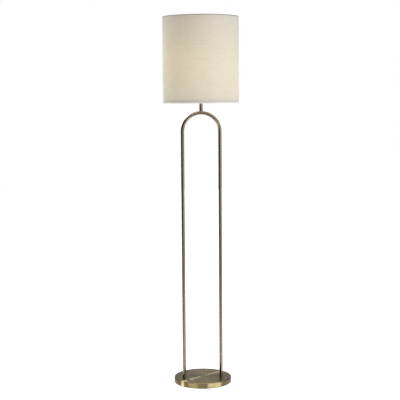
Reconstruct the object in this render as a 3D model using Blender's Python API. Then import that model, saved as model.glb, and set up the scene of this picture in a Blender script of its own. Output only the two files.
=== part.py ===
"""Arc floor lamp: an arch of antique brass tube on a weighted round base, with a tall linen drum shade.

Metres, +Z up. The origin is the middle of the base's underside, and the legs stand along X.
"""

import math

import bmesh
import bpy
from mathutils import Vector

# Overall sizes
HEIGHT = 1.560
GAP = 0.0003  # clearance between pieces that touch
CUT_PAST = 0.002  # how far a cutter runs on past what it cuts

# Base
BASE_RADIUS = 0.123
BASE_TOP = 0.024
BASE_EDGE_ROUND = 0.0028
COVER_WALL = 0.0012
COVER_BOTTOM = 0.0018
PAD_RADIUS = 0.119
PAD_TOP = 0.0025
WEIGHT_RADIUS = 0.1211
WEIGHT_BOTTOM = 0.0030
WEIGHT_TOP = 0.0224
POCKET_TOP = 0.0185
POCKET_RADIUS = 0.0150
CHANNEL_TOP = 0.0115
CHANNEL_WIDTH = 0.0090
BLOCK_Y = 0.082  # terminal block, behind the middle of the base
BLOCK_SIZE = (0.0220, 0.0160, 0.0120)
BLOCK_BOTTOM = WEIGHT_BOTTOM + 0.0005
BLOCK_ROOM = 0.0050  # free space around the block in the weight
BLOCK_ROOM_TOP = 0.0195
LEAD_START = (0.0, BLOCK_Y - BLOCK_SIZE[1] / 2 - 0.0022)  # where the lead ends, just before the block
INLET_Z = 0.0120  # axis of the cord bushing at the back
INLET_BORE = 0.0036
INLET_HOLE = 0.0052
INLET_SLOT_WIDTH = 0.0160
INLET_SLOT_TOP = 0.0205

# Frame
TUBE_RADIUS = 0.0070
TUBE_WALL = 0.0012
TUBE_BORE = TUBE_RADIUS - TUBE_WALL
TUBE_END_CHAMFER = 0.0003
LEG_X = 0.080  # from the middle of the lamp to each leg's axis
SPRING_Z = 1.080  # where the legs turn into the half circle of the arch
JOINT_Z = (0.322, 0.923)  # the two joints of each leg
NECK_TOP = 1.238

# Threaded pieces: the thread is a plain cylinder
THREAD_RADIUS = 0.0040
THREAD_BORE = 0.0025
TAPPED_RADIUS = THREAD_RADIUS + GAP
INSERT_RADIUS = TUBE_BORE - GAP
INSERT_LENGTH = 0.0195
SET_IN = 0.0005  # from a tube's end to the bush or the coupler's body inside it
COUPLER_BODY = 0.0200
COUPLER_SHANK = 0.0180
BOLT_BOTTOM = 0.0105
BOLT_TOP = 0.0450
WASHER_RADIUS = 0.0110
WASHER_THICKNESS = 0.0013
NUT_ACROSS_FLATS = 0.0130
NUT_THICKNESS = 0.0045
LEAD_RADIUS = 0.0016
LEAD_HOLE = 0.0050  # in the crown of the arch

# Flats round each kind of round piece
BASE_SIDES = 64
SHADE_SIDES = 48
TUBE_SIDES = 20
SOCKET_SIDES = 18
SMALL_SIDES = 12
WIRE_SIDES = 6
CUTTER_SIDES = 16
WIRE_BEVEL = 2  # bevel_resolution of the curves
ARCH_STEPS = 20

# Shade
SHADE_RADIUS = 0.160
SHADE_BOTTOM = 1.200
FABRIC = 0.0008
LINER = 0.0006
HEM_INSIDE = 0.0110  # how far the folded edge reaches inside the shade
RING_RADIUS = 0.1564  # middle of the ring's wire
WIRE_RADIUS = 0.0016
BOTTOM_RING_Z = SHADE_BOTTOM + 0.0088
TOP_RING_Z = HEIGHT - FABRIC - GAP - WIRE_RADIUS
SPIDER_Z = 1.5386
SPIDER_THICKNESS = 0.0016
STUD_HOLE = 0.0034
ARM_RADIUS = 0.0013
ARM_ANGLES = (90, 210, 330)

# Socket, harp and bulb: heights above the top of the neck
CAP_BOTTOM = 0.0022
CAP_TOP = 0.0240
CAP_RADIUS = 0.0180
SHELL_BOTTOM = 0.0165
SHELL_TOP = 0.0742
SHELL_RADIUS = 0.0170
SHELL_RIM = 0.0006  # how far the rolled rim stands out
SHEET = 0.0007  # thickness of the pressed brass
SLEEVE_RADIUS = 0.0160
SLEEVE_BOTTOM = 0.0190
SLEEVE_TOP = 0.0700
INSULATOR_BOTTOM = 0.0185
INSULATOR_TOP = 0.0450
INSULATOR_RADIUS = 0.0150
TERMINAL_AXIS = 0.0300
CONTACT_Z = 0.0453
KNOB_AXIS = 0.0315
KNOB_SHAFT = 0.0018
KNOB_RADIUS = 0.0060
KNOB_FACE = 0.0340  # from the lamp's axis to the knob's face
POST_X = 0.0275
POST_TOP = 0.0240
FERRULE_BOTTOM = 0.0180
HARP_STRAIGHT = 0.0230  # upright stretch of the harp's wire that a ferrule slides up along
HARP_RADIUS = 0.0020
HARP_HALF_WIDTH = 0.058
HARP_WIDEST_Z = 1.375  # from the ground
HARP_TOP = 1.5322  # from the ground
STUD_THREAD = 0.0030
BULB_BOTTOM = 0.0466
BULB_CAP_TOP = 0.0750
BULB_NECK = 0.0122
GLOBE_RADIUS = 0.030
GLOBE_MIDDLE = 0.1225

FINISHES = {  # base colour, roughness, metallic
    "antique_brass": ((0.42, 0.33, 0.20), 0.30, 1.0),
    "bright_brass": ((0.72, 0.56, 0.27), 0.28, 1.0),
    "plated_steel": ((0.62, 0.61, 0.58), 0.35, 1.0),
    "cast_iron": ((0.09, 0.09, 0.09), 0.70, 1.0),
    "nickel": ((0.70, 0.68, 0.64), 0.25, 1.0),
    "felt": ((0.03, 0.03, 0.03), 0.95, 0.0),
    "black_plastic": ((0.02, 0.02, 0.02), 0.40, 0.0),
    "white_plastic": ((0.80, 0.79, 0.76), 0.45, 0.0),
    "brown_phenolic": ((0.07, 0.04, 0.03), 0.45, 0.0),
    "cardboard": ((0.45, 0.36, 0.26), 0.90, 0.0),
    "lead_jacket": ((0.55, 0.45, 0.28), 0.50, 0.0),
    "opal_glass": ((0.95, 0.92, 0.85), 0.35, 0.0),
    "linen": ((0.86, 0.81, 0.71), 0.90, 0.0),
    "liner": ((0.93, 0.91, 0.86), 0.50, 0.0),
    "white_wire": ((0.85, 0.84, 0.81), 0.40, 0.0),
}


# Tools


def clear_scene():
    for obj in list(bpy.data.objects):
        bpy.data.objects.remove(obj, do_unlink=True)


def finish(name):
    found = bpy.data.materials.get(name)
    if found:
        return found
    color, roughness, metallic = FINISHES[name]
    made = bpy.data.materials.new(name)
    made.use_nodes = True
    shader = made.node_tree.nodes["Principled BSDF"]
    shader.inputs["Base Color"].default_value = (*color, 1.0)
    shader.inputs["Roughness"].default_value = roughness
    shader.inputs["Metallic"].default_value = metallic
    made.diffuse_color = (*color, 1.0)
    return made


def place(name, data, finish_name):
    obj = bpy.data.objects.new(name, data)
    bpy.context.scene.collection.objects.link(obj)
    if finish_name:
        data.materials.append(finish(finish_name))
    return obj


def mesh_object(name, bm, finish_name, location=(0, 0, 0)):
    """Closes a bmesh into an object with its faces outward and its round sides smooth."""
    bmesh.ops.remove_doubles(bm, verts=bm.verts, dist=1e-6)
    bmesh.ops.recalc_face_normals(bm, faces=bm.faces)
    mesh = bpy.data.meshes.new(name)
    bm.to_mesh(mesh)
    bm.free()
    mesh.shade_smooth()
    mesh.set_sharp_from_angle(angle=math.radians(35))
    obj = place(name, mesh, finish_name)
    obj.location = location
    return obj


def arc(x, z, radius, start, end, steps):
    """Points of an arc in the profile plane, from one angle in degrees to another."""
    angles = [math.radians(start + (end - start) * i / steps) for i in range(steps + 1)]
    return [(x + radius * math.cos(a), z + radius * math.sin(a)) for a in angles]


def turned(name, profile, sides, finish_name, location=(0, 0, 0)):
    """A profile of (radius, z) points spun about the Z axis; a closed loop unless it starts on the axis."""
    bm = bmesh.new()
    verts = [bm.verts.new((r, 0, z)) for r, z in profile]
    loop = profile[0][0] > 0
    pairs = zip(verts, verts[1:] + verts[:1]) if loop else zip(verts, verts[1:])
    edges = [bm.edges.new(pair) for pair in pairs]
    bmesh.ops.spin(
        bm, geom=verts + edges, cent=(0, 0, 0), axis=(0, 0, 1), angle=math.tau, steps=sides, use_merge=True
    )
    return mesh_object(name, bm, finish_name, location)


def ring_profile(inner, outer, bottom, top):
    return [(inner, bottom), (outer, bottom), (outer, top), (inner, top)]


def aim_along(obj, direction):
    """Turns an object's +Z to a direction."""
    obj.rotation_mode = "QUATERNION"
    obj.rotation_quaternion = Vector(direction).to_track_quat("Z", "Y")
    return obj


def swept(name, path, outer, sides, finish_name, inner=0.0):
    """A round tube along a path in the XZ plane, hollow where inner is given."""
    bm = bmesh.new()
    radii = [outer, inner] if inner else [outer]
    turns = [math.tau * k / sides for k in range(sides)]
    loops = []
    for i, (x, z) in enumerate(path):
        before, after = path[max(i - 1, 0)], path[min(i + 1, len(path) - 1)]
        along = Vector((after[0] - before[0], 0, after[1] - before[1])).normalized()
        across = Vector((along.z, 0, -along.x))
        for radius in radii:
            spokes = [math.cos(a) * across + math.sin(a) * Vector((0, 1, 0)) for a in turns]
            loops.append([bm.verts.new(Vector((x, 0, z)) + radius * spoke) for spoke in spokes])
    walls = len(radii)
    for i in range(len(loops) - walls):
        bridge(bm, loops[i], loops[i + walls])
    if inner:
        bridge(bm, loops[0], loops[1])
        bridge(bm, loops[-2], loops[-1])
    else:
        bm.faces.new(loops[0])
        bm.faces.new(loops[-1])
    return mesh_object(name, bm, finish_name)


def bridge(bm, first, second):
    for k in range(len(first)):
        nxt = (k + 1) % len(first)
        bm.faces.new((first[k], first[nxt], second[nxt], second[k]))


def wire(name, points, radius, finish_name):
    """A solid round wire through points, as a curve with a bevel and filled caps."""
    curve = bpy.data.curves.new(name, "CURVE")
    curve.dimensions = "3D"
    curve.bevel_depth = radius
    curve.bevel_resolution = WIRE_BEVEL
    curve.use_fill_caps = True
    spline = curve.splines.new("POLY")
    spline.points.add(len(points) - 1)
    for point, place_at in zip(spline.points, points):
        point.co = (*place_at, 1.0)
    return place(name, curve, finish_name)


def box(name, low, high, finish_name, bevel=0.0):
    bm = bmesh.new()
    bmesh.ops.create_cube(bm, size=1.0)
    middle = (Vector(low) + Vector(high)) / 2
    size = Vector(high) - Vector(low)
    for vert in bm.verts:
        vert.co = Vector([middle[i] + vert.co[i] * size[i] for i in range(3)])
    if bevel:
        bmesh.ops.bevel(bm, geom=bm.edges, offset=bevel, segments=1, affect="EDGES")
    return mesh_object(name, bm, finish_name)


def hide(cutter):
    cutter.hide_render = True
    cutter.display_type = "WIRE"
    return cutter


def combine(target, others, operation):
    for other in others:
        hide(other)
        modifier = target.modifiers.new(operation.title(), "BOOLEAN")
        modifier.operation = operation
        modifier.object = other
    return target


def cut(target, *cutters):
    return combine(target, cutters, "DIFFERENCE")


def join(target, *others):
    return combine(target, others, "UNION")


def rod(name, radius, bottom, top, location=(0, 0, 0), sides=CUTTER_SIDES):
    """A plain cylinder to cut with or to join on."""
    profile = [(0, bottom), (radius, bottom), (radius, top), (0, top)]
    return turned(name, profile, sides, None, location)


def hex_nut(name, across_flats, bottom, top, finish_name, location):
    """A hexagonal nut with its corners turned off on both faces."""
    corner = across_flats / math.sqrt(3)
    chamfer = corner - across_flats / 2
    bore = TAPPED_RADIUS
    profile = [(bore, bottom), (corner - chamfer, bottom), (corner, bottom + chamfer)]
    profile += [(corner, top - chamfer), (corner - chamfer, top), (bore, top)]
    nut = turned(name, profile, SMALL_SIDES, finish_name, location)
    prism = bmesh.new()
    height = 2 * (top - bottom)
    bmesh.ops.create_cone(
        prism, cap_ends=True, segments=6, radius1=corner, radius2=corner, depth=height
    )
    cutter = mesh_object(name + "_hexagon", prism, None)
    cutter.location = Vector(location) + Vector((0, 0, (top + bottom) / 2))
    return combine(nut, [cutter], "INTERSECT")


SIDES = (("left", -1), ("right", 1))


# Base


def base_cover():
    """Spun shell: flat top, rounded rim, upright side with a small turned-in edge, open underneath."""
    inner = BASE_RADIUS - COVER_WALL
    ceiling = BASE_TOP - COVER_WALL
    edge, corner = 0.0010, 0.0015
    profile = [(0, BASE_TOP)]
    profile += arc(BASE_RADIUS - BASE_EDGE_ROUND, BASE_TOP - BASE_EDGE_ROUND, BASE_EDGE_ROUND, 90, 0, 3)
    profile += arc(BASE_RADIUS - edge, COVER_BOTTOM + edge, edge, 0, -90, 2)
    profile += [(inner, COVER_BOTTOM), (inner, ceiling - corner), (inner - corner, ceiling), (0, ceiling)]
    cover = turned("base_cover", profile, BASE_SIDES, "antique_brass")
    below, above = ceiling - CUT_PAST, BASE_TOP + CUT_PAST
    for side, sign in SIDES:
        cut(cover, rod(f"cover_hole_{side}", TAPPED_RADIUS, below, above, (sign * LEG_X, 0, 0)))
    inlet = rod("cover_inlet_hole", INLET_HOLE, inner - 2 * CUT_PAST, BASE_RADIUS + CUT_PAST)
    aim_along(inlet, (0, 1, 0)).location = (0, 0, INLET_Z)
    cut(cover, inlet)


def base_weight():
    """Cast disc with a pocket under each leg, a wire channel and a space for the terminal block."""
    chamfer = 0.003
    profile = [(0, WEIGHT_TOP), (WEIGHT_RADIUS - chamfer, WEIGHT_TOP), (WEIGHT_RADIUS, WEIGHT_TOP - chamfer)]
    profile += [(WEIGHT_RADIUS, WEIGHT_BOTTOM), (0, WEIGHT_BOTTOM)]
    weight = turned("base_weight", profile, BASE_SIDES, "cast_iron")
    under, over = WEIGHT_BOTTOM - CUT_PAST, WEIGHT_TOP + CUT_PAST
    for side, sign in SIDES:
        at = (sign * LEG_X, 0, 0)
        cut(weight, rod(f"weight_pocket_{side}", POCKET_RADIUS, under, POCKET_TOP, at, TUBE_SIDES))
        cut(weight, rod(f"weight_hole_{side}", TAPPED_RADIUS, under, over, at))
    start = Vector((-LEG_X, 0, 0))
    run = Vector((*LEAD_START, 0)) - start
    channel = box(
        "weight_channel", (0, -CHANNEL_WIDTH / 2, under), (run.length, CHANNEL_WIDTH / 2, CHANNEL_TOP), None
    )
    channel.location = start
    channel.rotation_euler.z = math.atan2(run.y, run.x)
    half_wide, half_deep = BLOCK_SIZE[0] / 2 + BLOCK_ROOM, BLOCK_SIZE[1] / 2 + BLOCK_ROOM
    low, high = (-half_wide, BLOCK_Y - half_deep, under), (half_wide, BLOCK_Y + half_deep, BLOCK_ROOM_TOP)
    space = box("weight_block_space", low, high, None)
    half_slot = INLET_SLOT_WIDTH / 2
    low, high = (-half_slot, BLOCK_Y, under), (half_slot, WEIGHT_RADIUS + CUT_PAST, INLET_SLOT_TOP)
    slot = box("weight_inlet_slot", low, high, None)
    cut(weight, channel, space, slot)


def base_pad():
    """Felt disc with a small chamfer where it stands on the floor."""
    chamfer = 0.0008
    profile = [(0, 0), (PAD_RADIUS - chamfer, 0), (PAD_RADIUS, chamfer), (PAD_RADIUS, PAD_TOP), (0, PAD_TOP)]
    turned("base_pad", profile, BASE_SIDES, "felt")


def leg_fixings(side, sign):
    """The hollow bolt that holds a leg to the base, with its washer and nut in the weight's pocket."""
    at = (sign * LEG_X, 0, 0)
    bolt = ring_profile(THREAD_BORE, THREAD_RADIUS, BOLT_BOTTOM, BOLT_TOP)
    turned(f"base_bolt_{side}", bolt, SMALL_SIDES, "plated_steel", at)
    washer_top = POCKET_TOP - GAP
    washer = ring_profile(TAPPED_RADIUS, WASHER_RADIUS, washer_top - WASHER_THICKNESS, washer_top)
    turned(f"base_washer_{side}", washer, SMALL_SIDES, "plated_steel", at)
    nut_top = washer_top - WASHER_THICKNESS - GAP
    hex_nut(f"base_nut_{side}", NUT_ACROSS_FLATS, nut_top - NUT_THICKNESS, nut_top, "plated_steel", at)


def cord_bushing():
    """Grommet in the cover's side wall, with a flange on each side of the wall."""
    inner_end, outer_end = 0.1130, BASE_RADIUS + GAP + 0.0022
    wall_in, wall_out = BASE_RADIUS - COVER_WALL - 0.0010, BASE_RADIUS + GAP
    shank, flange = INLET_HOLE - GAP, 0.0070
    profile = [(INLET_BORE, inner_end), (flange - 0.0008, inner_end), (flange, inner_end + 0.0015)]
    profile += [(flange, wall_in), (shank, wall_in), (shank, wall_out), (flange, wall_out)]
    profile += [(flange, outer_end - 0.0012), (flange - 0.0010, outer_end), (INLET_BORE + 0.0006, outer_end)]
    profile += [(INLET_BORE, outer_end - 0.0008)]
    bushing = turned("cord_bushing", profile, SOCKET_SIDES, "black_plastic")
    aim_along(bushing, (0, 1, 0)).location = (0, 0, INLET_Z)


def terminal_block():
    """Two-pole connector that lies in the weight, with a passage for each pole's wires."""
    wide, deep, high = BLOCK_SIZE
    low, top = (-wide / 2, BLOCK_Y - deep / 2, BLOCK_BOTTOM), BLOCK_BOTTOM + high
    block = box("terminal_block", low, (wide / 2, BLOCK_Y + deep / 2, top), "white_plastic", bevel=0.0008)
    pole_x, passage_radius = 0.0055, 0.0016
    for side, sign in SIDES:
        passage = rod(f"block_passage_{side}", passage_radius, -deep, deep, sides=10)
        aim_along(passage, (0, 1, 0)).location = (sign * pole_x, BLOCK_Y, BLOCK_BOTTOM + high / 2)
        cut(block, passage)


# Frame


def tube_profile(bottom, top):
    c = TUBE_END_CHAMFER
    profile = [(TUBE_BORE, bottom), (TUBE_RADIUS - c, bottom), (TUBE_RADIUS, bottom + c)]
    return profile + [(TUBE_RADIUS, top - c), (TUBE_RADIUS - c, top), (TUBE_BORE, top)]


def leg_tubes(side, sign):
    at = (sign * LEG_X, 0, 0)
    lower, upper = JOINT_Z
    lengths = {"lower": (BASE_TOP + GAP, lower - GAP / 2), "middle": (lower + GAP / 2, upper - GAP / 2)}
    for place_in_leg, (bottom, top) in lengths.items():
        turned(f"{place_in_leg}_leg_{side}", tube_profile(bottom, top), TUBE_SIDES, "antique_brass", at)


def insert(name, bottom, top, at):
    """Tapped bush fixed inside the end of a tube."""
    turned(name, ring_profile(TAPPED_RADIUS, INSERT_RADIUS, bottom, top), SMALL_SIDES, "plated_steel", at)


def coupler(name, joint_z, at):
    """Turned body in the upper tube, with a hollow threaded shank that screws down into the tube below."""
    shoulder = joint_z + SET_IN
    profile = [(THREAD_BORE, joint_z - COUPLER_SHANK), (THREAD_RADIUS, joint_z - COUPLER_SHANK)]
    profile += [(THREAD_RADIUS, shoulder), (INSERT_RADIUS, shoulder)]
    profile += [(INSERT_RADIUS, shoulder + COUPLER_BODY), (THREAD_BORE, shoulder + COUPLER_BODY)]
    turned(name, profile, SMALL_SIDES, "plated_steel", at)


def leg_joints(side, sign):
    at = (sign * LEG_X, 0, 0)
    lower, upper = JOINT_Z
    foot = BASE_TOP + GAP + SET_IN
    insert(f"foot_insert_{side}", foot, foot + INSERT_LENGTH, at)
    insert(f"lower_insert_{side}", lower - SET_IN - INSERT_LENGTH, lower - SET_IN, at)
    insert(f"middle_insert_{side}", upper - SET_IN - INSERT_LENGTH, upper - SET_IN, at)
    coupler(f"lower_coupler_{side}", lower, at)
    coupler(f"upper_coupler_{side}", upper, at)


def arch_path():
    bottom = JOINT_Z[1] + GAP / 2
    bend = arc(0, SPRING_Z, LEG_X, 180, 0, ARCH_STEPS)
    return [(-LEG_X, bottom)] + bend + [(LEG_X, bottom)]


def arch():
    """One tube bent to a half circle, with a hole at its top for the lead."""
    tube = swept("arch_tube", arch_path(), TUBE_RADIUS, TUBE_SIDES, "antique_brass", inner=TUBE_BORE)
    crown = SPRING_Z + LEG_X
    cut(tube, rod("arch_hole", LEAD_HOLE, crown, crown + TUBE_RADIUS + CUT_PAST))


def neck():
    """Short tube coped onto the top of the arch."""
    crown = SPRING_Z + LEG_X
    c = TUBE_END_CHAMFER
    profile = [(TUBE_BORE, crown), (TUBE_RADIUS, crown), (TUBE_RADIUS, NECK_TOP - c)]
    profile += [(TUBE_RADIUS - c, NECK_TOP), (TUBE_BORE, NECK_TOP)]
    tube = turned("neck_tube", profile, TUBE_SIDES, "antique_brass")
    cut(tube, swept("neck_coping", arch_path(), TUBE_RADIUS + GAP, TUBE_SIDES, None))
    insert("neck_insert", NECK_TOP - SET_IN - INSERT_LENGTH, NECK_TOP - SET_IN, (0, 0, 0))
    nipple = ring_profile(THREAD_BORE, THREAD_RADIUS, NECK_TOP - COUPLER_SHANK, NECK_TOP + 0.0120)
    turned("neck_nipple", nipple, SMALL_SIDES, "plated_steel")
    nut_bottom, nut_top = 0.0060, 0.0095
    hex_nut("neck_lock_nut", NUT_ACROSS_FLATS, nut_bottom, nut_top, "plated_steel", (0, 0, NECK_TOP))


def bezier(p0, p1, p2, p3, steps):
    points = []
    for i in range(steps + 1):
        t = i / steps
        s = 1 - t
        points.append(s**3 * p0 + 3 * s * s * t * p1 + 3 * s * t * t * p2 + t**3 * p3)
    return points


def lead_route():
    """From the terminal block, along the channel, up the left leg, round the arch and up the neck."""
    floor_z = 0.0049
    bend = 0.0056
    leg = Vector((-LEG_X, 0, 0))
    inward = (Vector((*LEAD_START, 0)) - leg).normalized()
    points = [Vector((*LEAD_START, floor_z))]
    for step in range(5):
        angle = math.radians(90 * step / 4)
        flat = leg + inward * bend * (1 - math.sin(angle))
        points.append(Vector((flat.x, flat.y, floor_z + bend * (1 - math.cos(angle)))))
    points.append(Vector((-LEG_X, 0, SPRING_Z)))
    inside = LEG_X - 0.0025  # the lead lies against the inside of the bend near the top
    for angle in range(170, 109, -10):
        share = (180 - angle) / 80
        radius = LEG_X + (inside - LEG_X) * share
        a = math.radians(angle)
        points.append(Vector((radius * math.cos(a), 0, SPRING_Z + radius * math.sin(a))))
    a = math.radians(100)
    start = Vector((inside * math.cos(a), 0, SPRING_Z + inside * math.sin(a)))
    end = Vector((0, 0, SPRING_Z + LEG_X + 0.016))
    pull = 0.009
    along = Vector((math.sin(a), 0, -math.cos(a)))
    points += bezier(start, start + along * pull, end - Vector((0, 0, pull)), end, 8)
    points.append(Vector((0, 0, NECK_TOP + 0.0172)))
    return points


# Socket and switch


def harp_saddle():
    """Bent strip under the socket, with an upright post at each end for the harp."""
    thick, half_wide, post_bottom = 0.0016, 0.0060, 0.0095
    bottom = GAP
    flat_end, rise_end, rise = 0.0170, POST_X + 0.0022, 0.0115
    under = [(-rise_end, bottom + rise), (-flat_end, bottom), (flat_end, bottom), (rise_end, bottom + rise)]
    over = [(rise_end - 0.0015, bottom + rise + thick), (flat_end - 0.0008, bottom + thick)]
    outline = under + over + [(-x, z) for x, z in reversed(over)]
    bm = bmesh.new()
    face = bm.faces.new([bm.verts.new((x, -half_wide, z)) for x, z in outline])
    made = bmesh.ops.extrude_face_region(bm, geom=[face])
    moved = [item for item in made["geom"] if isinstance(item, bmesh.types.BMVert)]
    bmesh.ops.translate(bm, verts=moved, vec=(0, 2 * half_wide, 0))
    bm.normal_update()
    saddle = mesh_object("harp_saddle", bm, "bright_brass", (0, 0, NECK_TOP))
    for side, sign in SIDES:
        at = (sign * POST_X, 0, NECK_TOP)
        join(saddle, rod(f"saddle_post_{side}", HARP_RADIUS, post_bottom, POST_TOP, at, SMALL_SIDES))
    hole_top = bottom + thick + CUT_PAST
    cut(saddle, rod("saddle_hole", TAPPED_RADIUS, bottom - CUT_PAST, hole_top, (0, 0, NECK_TOP)))


def socket_cap():
    """Cup with a threaded hub: the lower half of the socket's metal shell."""
    outer, inner = CAP_RADIUS, CAP_RADIUS - SHEET
    hub, bend, floor_z = 0.0090, 0.0080, 0.0055
    profile = [(TAPPED_RADIUS, CAP_BOTTOM), (hub - 0.0010, CAP_BOTTOM), (hub, CAP_BOTTOM + 0.0010)]
    profile += arc(outer - bend, CAP_BOTTOM + 0.0098, bend, -80, 0, 4)
    profile += [(outer, CAP_TOP), (inner, CAP_TOP), (inner, floor_z + 0.0070)]
    profile += [(hub + 0.0008, floor_z), (TAPPED_RADIUS, floor_z)]
    turned("socket_cap", profile, SOCKET_SIDES, "bright_brass", (0, 0, NECK_TOP))


def shaft_hole(name, clearance, start=0.010):
    """Cutter for the switch shaft, from its distance start out through the front of the socket."""
    hole = rod(name, KNOB_SHAFT + clearance, start, 0.025, sides=SMALL_SIDES)
    aim_along(hole, (0, -1, 0)).location = (0, 0, NECK_TOP + KNOB_AXIS)
    return hole


def socket_shell():
    """Upper shell with a rolled rim and a hole for the switch shaft."""
    outer, inner, rim = SHELL_RADIUS, SHELL_RADIUS - SHEET, SHELL_RADIUS + SHELL_RIM
    profile = [(inner, SHELL_BOTTOM), (outer, SHELL_BOTTOM), (outer, SHELL_TOP - 0.0027)]
    profile += [(rim, SHELL_TOP - 0.0017), (rim, SHELL_TOP - 0.0007), (outer, SHELL_TOP), (inner, SHELL_TOP)]
    shell = turned("socket_shell", profile, SOCKET_SIDES, "bright_brass", (0, 0, NECK_TOP))
    cut(shell, shaft_hole("shell_switch_hole", 0.0010))


def insulating_sleeve():
    """Fibre tube between the metal shell and the live contacts."""
    thick = 0.0006
    profile = ring_profile(SLEEVE_RADIUS - thick, SLEEVE_RADIUS, SLEEVE_BOTTOM, SLEEVE_TOP)
    sleeve = turned("insulating_sleeve", profile, SOCKET_SIDES, "cardboard", (0, 0, NECK_TOP))
    cut(sleeve, shaft_hole("sleeve_switch_hole", 0.0012))


def socket_body():
    """Moulded insulator that holds the switch, the terminals and the contacts."""
    outer, foot, taper_z = INSULATOR_RADIUS, 0.0100, 0.0225
    profile = [(0, INSULATOR_BOTTOM), (foot, INSULATOR_BOTTOM), (outer - 0.0010, taper_z), (outer, taper_z)]
    profile += [(outer, INSULATOR_TOP), (0, INSULATOR_TOP)]
    body = turned("socket_body", profile, SOCKET_SIDES, "brown_phenolic", (0, 0, NECK_TOP))
    cut(body, shaft_hole("body_switch_hole", 0.0005, start=0.0050))
    for side, sign in SIDES:
        seat = rod(f"terminal_seat_{side}", 0.0036, 0.0118, 0.025, sides=SMALL_SIDES)
        aim_along(seat, (sign, 0, 0)).location = (0, 0, NECK_TOP + TERMINAL_AXIS)
        cut(body, seat)


def terminal_screw(side, sign):
    """Head of the screw that holds one end of the lead, in its seat in the insulator."""
    seat, head, face = 0.0121, 0.0029, 0.0146
    profile = [(0, seat), (head, seat), (head, face - 0.0008), (head - 0.0007, face), (0, face)]
    screw = turned(f"terminal_screw_{side}", profile, SMALL_SIDES, "bright_brass" if sign > 0 else "nickel")
    aim_along(screw, (sign, 0, 0)).location = (0, 0, NECK_TOP + TERMINAL_AXIS)


def socket_contacts():
    """Ridged shell that the bulb screws into, and the button under the bulb's tip."""
    at = (0, 0, NECK_TOP)
    inner, outer, ridge, pitch = 0.0136, 0.0141, 0.0002, 0.0072
    screw_shell = [(inner, CONTACT_Z), (outer, CONTACT_Z)]
    screw_shell += [(outer - ridge * (i % 2), CONTACT_Z + 0.0027 + i * pitch / 2) for i in range(7)]
    screw_shell += [(inner, 0.0715)]
    turned("screw_shell_contact", screw_shell, SOCKET_SIDES, "bright_brass", at)
    button, dome, top = 0.0045, 0.0020, CONTACT_Z + 0.0010
    centre = [(0, CONTACT_Z), (button, CONTACT_Z), (button, CONTACT_Z + 0.0005), (dome, top), (0, top)]
    turned("centre_contact", centre, SMALL_SIDES, "bright_brass", at)


def switch_knob():
    """Fluted knob on its shaft, one turning piece. Its axis is horizontal, towards the front."""
    shaft_end, collar = 0.0060, 0.0195
    profile = [(0, shaft_end), (KNOB_SHAFT, shaft_end), (KNOB_SHAFT, collar), (KNOB_RADIUS - 0.0008, collar)]
    profile += [(KNOB_RADIUS, collar + 0.0010), (KNOB_RADIUS, KNOB_FACE - 0.0015)]
    profile += [(KNOB_RADIUS - 0.0010, KNOB_FACE), (0, KNOB_FACE)]
    flutes, depth = 12, 0.07  # depth as a share of the radius
    knob = turned("switch_knob", profile, 2 * flutes, "black_plastic")
    for vert in knob.data.vertices:
        radius = math.hypot(vert.co.x, vert.co.y)
        turn = math.atan2(vert.co.y, vert.co.x)
        if radius > 2 * KNOB_SHAFT:
            share = 1 - depth * (0.5 + 0.5 * math.cos(flutes * turn))
            vert.co.x *= share
            vert.co.y *= share
    aim_along(knob, (0, -1, 0)).location = (0, 0, NECK_TOP + KNOB_AXIS)


# Harp and finial


def harp_points():
    """Upright ends, a swell to the widest place, and a round top under the stud."""
    start_z = NECK_TOP + POST_TOP + GAP
    straight_z = start_z + HARP_STRAIGHT
    right = [(POST_X, start_z), (POST_X, straight_z)]
    p0, p3 = Vector((POST_X, straight_z)), Vector((HARP_HALF_WIDTH, HARP_WIDEST_Z))
    swell = bezier(p0, p0 + Vector((0, 0.030)), p3 - Vector((0, 0.045)), p3, 6)
    top = Vector((0, HARP_TOP))
    crown = bezier(p3, p3 + Vector((0, 0.075)), top + Vector((0.045, 0)), top, 8)
    right += [tuple(p) for p in swell[1:]] + [tuple(p) for p in crown[1:]]
    left = [(-x, z) for x, z in reversed(right[:-1])]
    return [Vector((x, 0, z)) for x, z in right + left]


def ferrule(side, sign):
    """Collar that slides down over the joint between a saddle post and the harp's wire."""
    bottom, top = FERRULE_BOTTOM, FERRULE_BOTTOM + 0.0120
    bore, grip, barrel = HARP_RADIUS + GAP, 0.0038, 0.0032
    profile = [(bore, bottom), (grip - 0.0004, bottom), (grip, bottom + 0.0005), (grip, bottom + 0.0020)]
    profile += [(barrel, bottom + 0.0028), (barrel, top - 0.0005), (barrel - 0.0004, top), (bore, top)]
    turned(f"harp_ferrule_{side}", profile, SMALL_SIDES, "bright_brass", (sign * POST_X, 0, NECK_TOP))


def harp_stud():
    """Flanged seat that the shade's washer rests on, with the thread for the finial."""
    seat, flange = HARP_TOP + HARP_RADIUS + GAP, 0.0085
    thread, shoulder, top = STUD_THREAD, seat + 0.0030, seat + 0.0156
    profile = [(0, seat), (flange, seat), (flange, shoulder), (thread, shoulder)]
    profile += [(thread, top - 0.0006), (thread - 0.0006, top), (0, top)]
    turned("harp_stud", profile, SMALL_SIDES, "bright_brass")


def finial():
    """Small turned knob with a blind threaded bore; it clamps the shade to the harp."""
    bottom = SPIDER_Z + SPIDER_THICKNESS / 2 + GAP
    bore, ball = STUD_THREAD + GAP, 0.0078
    profile = arc(0, bottom + 0.0112, ball, 90, -60, 7)
    profile[0] = (0, profile[0][1])
    profile += [(0.0048, bottom + 0.0026), (0.0066, bottom + 0.0010), (0.0062, bottom), (bore, bottom)]
    profile += [(bore, bottom + 0.0130), (0, bottom + 0.0135)]
    turned("finial", profile, SOCKET_SIDES, "antique_brass")


# Bulb


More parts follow.
